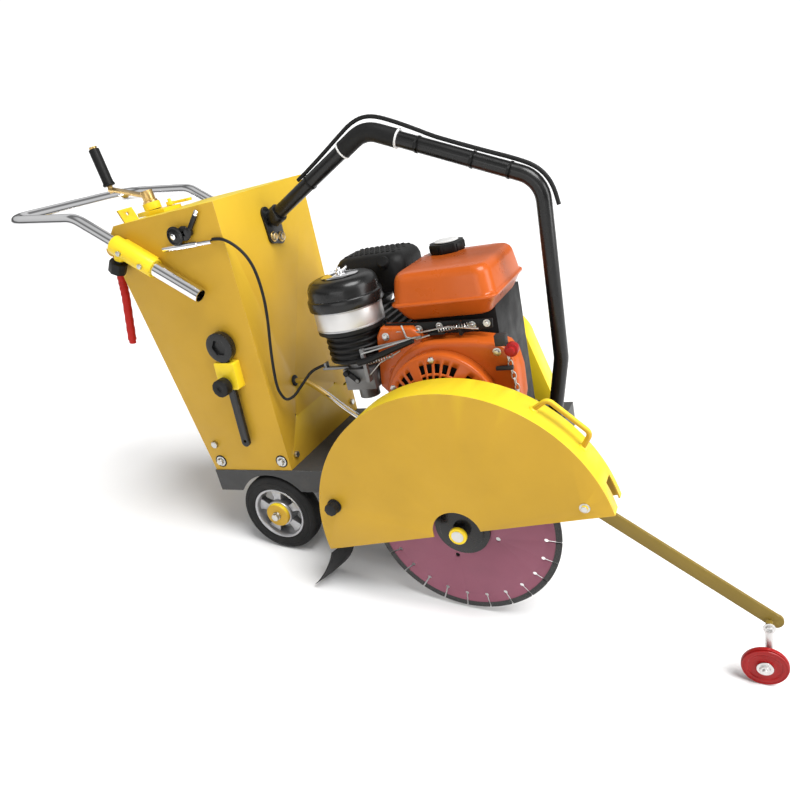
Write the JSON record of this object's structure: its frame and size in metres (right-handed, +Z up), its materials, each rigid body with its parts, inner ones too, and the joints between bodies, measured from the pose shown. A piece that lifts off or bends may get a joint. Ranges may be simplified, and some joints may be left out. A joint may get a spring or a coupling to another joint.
{
  "type": "walk-behind concrete saw",
  "caption": "Walk-behind floor saw: petrol engine on a wheeled steel deck, belt-driven diamond blade under a lifting guard, crank-set depth, sliding push handle.",
  "frame": {"origin": "centre of the footprint of the bounding box, on the ground", "axes": "+X forward in the cutting direction, +Y to the machine's left, +Z up; the blade is on the -Y side"},
  "size_m": [1.7206, 0.543, 0.9627],
  "materials": {
    "yellow": "satin",
    "yellow_light": "satin",
    "deck_grey": "satin",
    "black_paint": "gloss",
    "chrome": "polished",
    "steel": "brushed",
    "rubber": "matte",
    "tyre": "matte",
    "rim": "cast",
    "plastic": "matte",
    "orange": "gloss",
    "cast": "cast",
    "core": "satin",
    "red": "gloss",
    "red_rubber": "satin",
    "alu": "cast",
    "alu_black": "cast",
    "olive": "satin"
  },
  "bodies": {
    "chassis": {"deck": "deck_grey", "rear_axle": "steel", "console": "yellow", "handle_sleeves": "yellow_light", "crank_bearing": "yellow_light", "throttle_mount": "chrome", "throttle_cable": "rubber", "wrench_holder": "yellow", "lift_bar": "black_paint", "lift_sleeve": "rubber", "lift_brackets": "yellow_light", "lift_hose": "rubber", "water_pipe": "chrome", "fasteners": "steel", "crankcase": "alu_black", "cylinder_block": "alu", "fan_shroud": "orange", "recoil_cover": "orange", "fuel_tank": "orange", "muffler": "black_paint", "air_cleaner_base": "plastic", "air_cleaner_band": "chrome", "air_cleaner_cover": "plastic", "carburettor": "alu", "bearing_housings": "cast", "belt_guard": "yellow_light", "drive_belts": "rubber"},
    "arbor": {"arbor_shaft": "steel", "blade_flanges": "black_paint", "blade": "core"},
    "engine_rotor": {"engine_shaft": "cast"},
    "guard": {"guard_shell": "yellow", "mud_flap": "rubber"},
    "guard_clamp": {"guard_knob": "plastic"},
    "guide": {"guide_arm": "olive"},
    "guide_roller": {"guide_wheel": "red"},
    "push_handle": {"handlebar": "chrome"},
    "handle_clamp_right": {"handle_knob_right": "plastic"},
    "handle_clamp_left": {"handle_knob_left": "plastic"},
    "depth_crank": {"crank": "steel"},
    "depth_crank_grip": {"crank_grip": "plastic"},
    "depth_slider": {"depth_nut": "steel"},
    "depth_lock": {"crank_lock": "yellow_light"},
    "front_carrier": {"axle_carrier": "deck_grey"},
    "rear_wheel_right": {"rear_tyre_right": "tyre", "rear_rim_right": "rim"},
    "rear_wheel_left": {"rear_tyre_left": "tyre", "rear_rim_left": "rim"},
    "front_roller_right": {"front_wheel_right": "tyre"},
    "front_roller_left": {"front_wheel_left": "tyre"},
    "throttle": {"throttle_lever": "black_paint"},
    "blade_wrench": {"wrench": "black_paint"},
    "wrench_clamp": {"wrench_knob": "plastic"},
    "belt_lever": {"hand_lever": "red_rubber"},
    "tank_cap": {"fuel_cap": "plastic"},
    "ignition_switch": {"engine_switch": "red"},
    "starter_grip": {"recoil_grip": "plastic"},
    "choke": {"choke_lever": "plastic"},
    "oil_filler_cap": {"oil_cap": "plastic"}
  },
  "joints": [
    {"name": "arbor_spin", "type": "hinge", "parent": "chassis", "child": "arbor", "pos_m": [0.24384, 0.0245, 0.20863], "axis": [0, 1, 0], "continuous": true},
    {"name": "engine_shaft_spin", "type": "hinge", "parent": "chassis", "child": "engine_rotor", "pos_m": [0.18052, 0.0245, 0.42944], "axis": [0, 1, 0], "continuous": true},
    {"name": "guard_lift", "type": "hinge", "parent": "chassis", "child": "guard", "pos_m": [-0.02458, -0.2055, 0.23496], "axis": [0, -1, 0], "range_deg": [0, 38]},
    {"name": "guard_knob_turn", "type": "hinge", "parent": "chassis", "child": "guard_clamp", "pos_m": [-0.02458, -0.2555, 0.23496], "axis": [0, 1, 0], "range_deg": [0, 720]},
    {"name": "guide_arm_swing", "type": "hinge", "parent": "chassis", "child": "guide", "pos_m": [0.46963, -0.2055, 0.31729], "axis": [0, -1, 0], "range_deg": [-5, 42]},
    {"name": "guide_wheel_spin", "type": "hinge", "parent": "guide", "child": "guide_roller", "pos_m": [0.82032, -0.2055, 0.04], "axis": [0, 1, 0], "continuous": true},
    {"name": "handle_slide", "type": "slide", "parent": "chassis", "child": "push_handle", "axis": [-0.8948, 0, 0.4465], "range_m": [-0.075, 0.09]},
    {"name": "handle_knob_right_turn", "type": "hinge", "parent": "chassis", "child": "handle_clamp_right", "pos_m": [-0.54304, -0.1665, 0.70104], "axis": [-0.4465, 0, -0.8948], "range_deg": [0, 720]},
    {"name": "handle_knob_left_turn", "type": "hinge", "parent": "chassis", "child": "handle_clamp_left", "pos_m": [-0.54304, 0.2215, 0.70104], "axis": [-0.4465, 0, -0.8948], "range_deg": [0, 720]},
    {"name": "front_carrier_swing", "type": "hinge", "parent": "chassis", "child": "front_carrier", "pos_m": [-0.17443, 0.0245, 0.16466], "axis": [0, -1, 0], "range_deg": [0, 20]},
    {"name": "crank_turn", "type": "hinge", "parent": "chassis", "child": "depth_crank", "pos_m": [-0.54919, -0.0155, 0.78568], "axis": [-0.2588, 0, 0.9659], "range_deg": [0, 3270]},
    {"name": "depth_nut_slide", "type": "slide", "parent": "chassis", "child": "depth_slider", "axis": [0.2588, 0, -0.9659], "range_m": [0, 0.0726]},
    {"name": "crank_grip_spin", "type": "hinge", "parent": "depth_crank", "child": "depth_crank_grip", "pos_m": [-0.68142, -0.00818, 0.87448], "axis": [-0.2588, 0, 0.9659], "continuous": true},
    {"name": "crank_lock_swing", "type": "hinge", "parent": "chassis", "child": "depth_lock", "pos_m": [-0.51753, 0.0065, 0.79676], "axis": [-0.1564, 0, 0.9877], "range_deg": [-50, 70]},
    {"name": "rear_wheel_right_spin", "type": "hinge", "parent": "chassis", "child": "rear_wheel_right", "pos_m": [-0.25024, -0.1255, 0.1], "axis": [0, 1, 0], "continuous": true},
    {"name": "rear_wheel_left_spin", "type": "hinge", "parent": "chassis", "child": "rear_wheel_left", "pos_m": [-0.25024, 0.1795, 0.1], "axis": [0, 1, 0], "continuous": true},
    {"name": "front_wheel_right_spin", "type": "hinge", "parent": "front_carrier", "child": "front_roller_right", "pos_m": [0.13276, -0.0815, 0.075], "axis": [0, 1, 0], "continuous": true},
    {"name": "front_wheel_left_spin", "type": "hinge", "parent": "front_carrier", "child": "front_roller_left", "pos_m": [0.13276, 0.1365, 0.075], "axis": [0, 1, 0], "continuous": true},
    {"name": "throttle_swing", "type": "hinge", "parent": "chassis", "child": "throttle", "pos_m": [-0.38152, -0.1555, 0.76262], "axis": [0, -1, 0], "range_deg": [-8, 60]},
    {"name": "wrench_draw", "type": "slide", "parent": "chassis", "child": "blade_wrench", "axis": [-0.0872, 0, 0.9962], "range_m": [0, 0.05]},
    {"name": "wrench_knob_turn", "type": "hinge", "parent": "chassis", "child": "wrench_clamp", "pos_m": [-0.31191, -0.1855, 0.4446], "axis": [0, 1, 0], "range_deg": [0, 720]},
    {"name": "belt_lever_swing", "type": "hinge", "parent": "chassis", "child": "belt_lever", "pos_m": [-0.59246, -0.1185, 0.7201], "axis": [0, 1, 0], "range_deg": [-6, 65]},
    {"name": "tank_cap_turn", "type": "hinge", "parent": "chassis", "child": "tank_cap", "pos_m": [0.11427, 0.1045, 0.69434], "axis": [-0.1564, 0, 0.9877], "range_deg": [0, 90]},
    {"name": "engine_switch_turn", "type": "hinge", "parent": "chassis", "child": "ignition_switch", "pos_m": [0.31708, -0.1215, 0.56447], "axis": [0, 1, 0], "range_deg": [0, 60]},
    {"name": "starter_pull", "type": "slide", "parent": "chassis", "child": "starter_grip", "axis": [0.8746, 0, 0.4848], "range_m": [0, 0.4], "stiffness_N_per_m": 60, "springref_m": -0.05},
    {"name": "choke_swing", "type": "hinge", "parent": "chassis", "child": "choke", "pos_m": [-0.01419, -0.1135, 0.4634], "axis": [0, -1, 0], "range_deg": [-40, 20]},
    {"name": "oil_cap_turn", "type": "hinge", "parent": "chassis", "child": "oil_filler_cap", "pos_m": [0.30715, 0.0045, 0.3523], "axis": [0.9877, 0, 0.1564], "range_deg": [0, 720]}
  ],
  "couplings": [
    {"joint": "engine_shaft_spin", "follows": "arbor_spin", "ratio": 1},
    {"joint": "crank_turn", "follows": "front_carrier_swing", "ratio": 162.42},
    {"joint": "depth_nut_slide", "follows": "front_carrier_swing", "m_per_rad": 0.2068}
  ]
}
